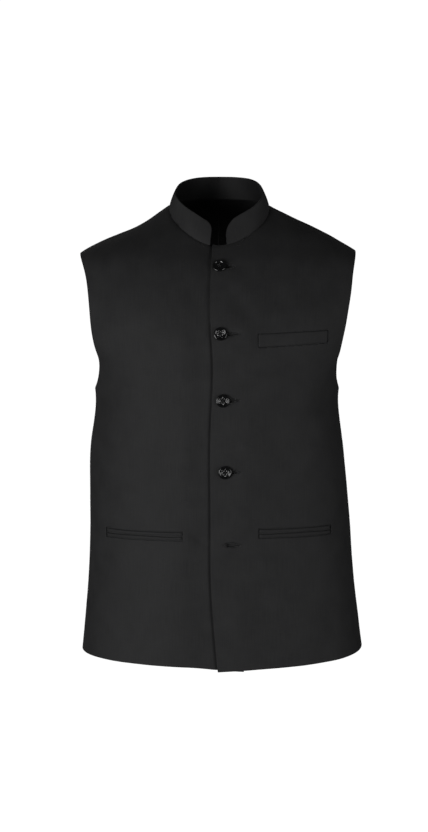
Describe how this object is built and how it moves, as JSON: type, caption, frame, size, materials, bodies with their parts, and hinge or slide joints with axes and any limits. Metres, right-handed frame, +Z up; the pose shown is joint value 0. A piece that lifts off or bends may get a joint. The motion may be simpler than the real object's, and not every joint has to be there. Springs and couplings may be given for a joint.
{
  "type": "sleeveless jacket",
  "caption": "Black band-collar waistcoat with a buttoned front, welt breast pocket and jetted pockets, hollow in its worn form.",
  "frame": {"origin": "midway between the points where the shoulder seams meet the collar, where the garment hangs from the shoulders", "axes": "+Z up along the body, +X to the wearer's left, the buttoned front faces -Y"},
  "size_m": [0.3977, 0.2673, 0.673],
  "materials": {
    "suiting": "smooth matte black suiting with a soft sheen",
    "button": "polished black"
  },
  "bodies": {
    "root": {"right_front": "suiting", "left_front": "suiting", "right_back": "suiting", "left_back": "suiting", "collar": "suiting", "chest_welt": "suiting", "right_pocket_upper_jet": "suiting", "right_pocket_lower_jet": "suiting", "left_pocket_upper_jet": "suiting", "left_pocket_lower_jet": "suiting", "button_1": "button", "button_2": "button", "button_3": "button", "button_4": "button", "button_5": "button"}
  },
  "joints": []
}
